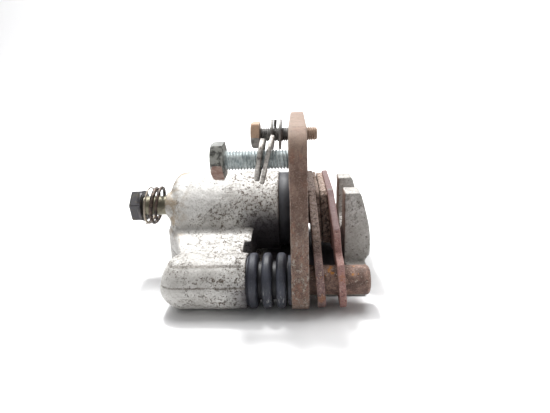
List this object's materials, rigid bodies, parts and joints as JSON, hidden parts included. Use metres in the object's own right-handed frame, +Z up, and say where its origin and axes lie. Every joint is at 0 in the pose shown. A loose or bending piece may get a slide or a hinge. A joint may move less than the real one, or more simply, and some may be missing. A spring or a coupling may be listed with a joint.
{
  "type": "floating disc brake caliper",
  "caption": "Single-piston floating disc brake caliper with its bracket plate, guide pins, rubber boots, worn pads and loosely fitted mounting bolts.",
  "frame": {"origin": "on the surface the assembly rests on, under the middle of its bounding box", "axes": "+X outboard along the piston axis, +Y away from the near guide pin, +Z up"},
  "size_m": [0.1386, 0.139, 0.0915],
  "materials": {
    "bracket_steel": "rust-brown stamped plate",
    "pin_steel": "rusted ground pin",
    "zinc_steel": "dull zinc plate, rust on the head",
    "dull_steel": "dark weathered steel",
    "cast_aluminium": "pitted, stained casting",
    "seal_rubber": "scuffed moulded rubber",
    "bushing_steel": "greased sleeve",
    "black_steel": "black oxide head, brassy shank",
    "spring_steel": "dark spring wire",
    "bleed_steel": "yellow passivated zinc",
    "piston_steel": "plated and polished",
    "backing_steel": "reddish paint over rust",
    "friction_block": "crumbling friction compound"
  },
  "bodies": {
    "bracket": {"bracket_plate": "bracket_steel", "guide_pin_near": "pin_steel", "guide_pin_far": "pin_steel", "bracket_bolt_near": "zinc_steel", "bracket_bolt_far": "dull_steel", "lock_washer_near": "zinc_steel", "lock_washer_far": "dull_steel", "flat_washer_near": "zinc_steel", "flat_washer_far": "dull_steel"},
    "caliper": {"caliper_body": "cast_aluminium", "piston_seal": "seal_rubber", "pin_bushing_near": "bushing_steel", "pin_bushing_far": "bushing_steel", "pin_boot_near": "seal_rubber", "pin_boot_far": "seal_rubber", "dust_boot": "seal_rubber", "inlet_bolt": "black_steel", "inlet_coil": "spring_steel"},
    "piston": {"piston": "piston_steel"},
    "inner_pad": {"inner_backing_plate": "backing_steel", "inner_friction": "friction_block"},
    "outer_pad": {"outer_backing_plate": "backing_steel", "outer_friction": "friction_block"},
    "bleed_screw": {"bleed_screw": "bleed_steel", "bleed_cap": "seal_rubber"}
  },
  "joints": [
    {"name": "caliper_float", "type": "slide", "parent": "bracket", "child": "caliper", "axis": [1, 0, 0], "range_m": [0, 0.009], "deforming": ["pin_boot_near", "pin_boot_far"]},
    {"name": "piston_slide", "type": "slide", "parent": "caliper", "child": "piston", "axis": [1, 0, 0], "range_m": [-0.0094, 0], "deforming": ["dust_boot"]},
    {"name": "inner_pad_slide", "type": "slide", "parent": "bracket", "child": "inner_pad", "axis": [1, 0, 0], "range_m": [-0.0004, 0]},
    {"name": "outer_pad_slide", "type": "slide", "parent": "bracket", "child": "outer_pad", "axis": [1, 0, 0], "range_m": [0, 0.009]},
    {"name": "bleed_turn", "type": "hinge", "parent": "caliper", "child": "bleed_screw", "pos_m": [-0.0278, 0.025, 0.043], "axis": [0, 1, 0], "range_deg": [0, 180]}
  ],
  "couplings": [
    {"joint": "piston_slide", "follows": "caliper_float", "ratio": -1.0444},
    {"joint": "inner_pad_slide", "follows": "caliper_float", "ratio": -0.0444},
    {"joint": "outer_pad_slide", "follows": "caliper_float", "ratio": 1}
  ]
}
